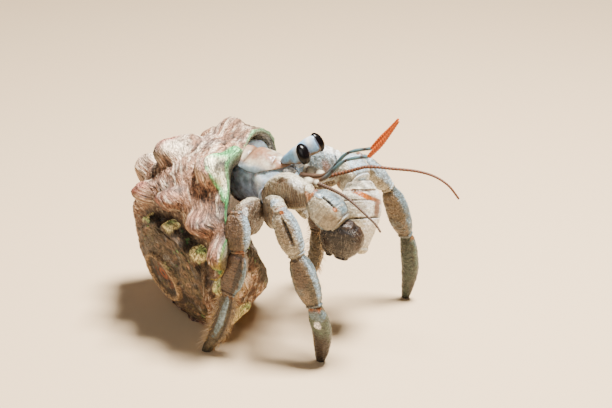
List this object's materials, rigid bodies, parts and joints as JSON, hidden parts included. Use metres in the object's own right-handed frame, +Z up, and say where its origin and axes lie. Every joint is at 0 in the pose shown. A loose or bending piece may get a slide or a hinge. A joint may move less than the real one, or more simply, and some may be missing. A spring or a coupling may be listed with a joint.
{
  "type": "hermit crab in a turban shell",
  "caption": "Life-size still model of a land hermit crab standing half out of its worn, knobbed turban shell, claws raised and feelers out.",
  "frame": {"origin": "middle of the footprint's bounding box, on the floor", "axes": "+X the crab's heading, +Y its left side, +Z up"},
  "size_m": [0.0878, 0.0542, 0.0618],
  "materials": {
    "turban_shell": "worn chalky shell, mottled pink-brown with green stains, matt",
    "shield_plate": "cream and tan horny plate, satin",
    "soft_body": "blue-grey soft skin, slightly moist",
    "claw_plate": "cream granular horny plate, satin",
    "leg_plate": "grey-cream granular horny plate with brown faces, satin",
    "joint_skin": "brown-orange joint skin, slightly moist",
    "eyestalk": "sky-blue above and grey-brown below, satin",
    "eye_gloss": "black, glossy",
    "brown_feeler": "brown ringed, satin",
    "orange_feeler": "vivid orange, satin"
  },
  "bodies": {
    "root": {"shell": "turban_shell", "abdomen": "soft_body", "shield": "shield_plate", "body": "soft_body", "claw_right_finger": "claw_plate", "claw_right_palm": "claw_plate", "claw_right_carpus": "claw_plate", "claw_right_merus": "claw_plate", "claw_right_coxa": "joint_skin", "claw_left_finger": "claw_plate", "claw_left_palm": "claw_plate", "claw_left_carpus": "claw_plate", "claw_left_merus": "claw_plate", "claw_left_coxa": "joint_skin", "leg2_right_dactyl": "leg_plate", "leg2_right_propodus": "leg_plate", "leg2_right_carpus": "leg_plate", "leg2_right_merus": "leg_plate", "leg2_right_coxa": "joint_skin", "leg2_left_dactyl": "leg_plate", "leg2_left_propodus": "leg_plate", "leg2_left_carpus": "leg_plate", "leg2_left_merus": "leg_plate", "leg2_left_coxa": "joint_skin", "leg3_right_dactyl": "leg_plate", "leg3_right_propodus": "leg_plate", "leg3_right_carpus": "leg_plate", "leg3_right_merus": "leg_plate", "leg3_right_coxa": "joint_skin", "leg3_left_dactyl": "leg_plate", "leg3_left_propodus": "leg_plate", "leg3_left_carpus": "leg_plate", "leg3_left_merus": "leg_plate", "leg3_left_coxa": "joint_skin", "eye_right": "eye_gloss", "eyestalk_right": "eyestalk", "eye_scale_right": "claw_plate", "eye_left": "eye_gloss", "eyestalk_left": "eyestalk", "eye_scale_left": "claw_plate", "antennule_right_whip": "orange_feeler", "antennule_right_stalk": "brown_feeler", "antennule_left_whip": "orange_feeler", "antennule_left_stalk": "brown_feeler", "antenna_right_whip": "brown_feeler", "antenna_right_stalk": "brown_feeler", "antenna_left_whip": "brown_feeler", "antenna_left_stalk": "brown_feeler", "mouth_leg_right": "leg_plate", "leg4_right": "joint_skin", "mouth_leg_left": "leg_plate", "leg4_left": "joint_skin"}
  },
  "joints": []
}
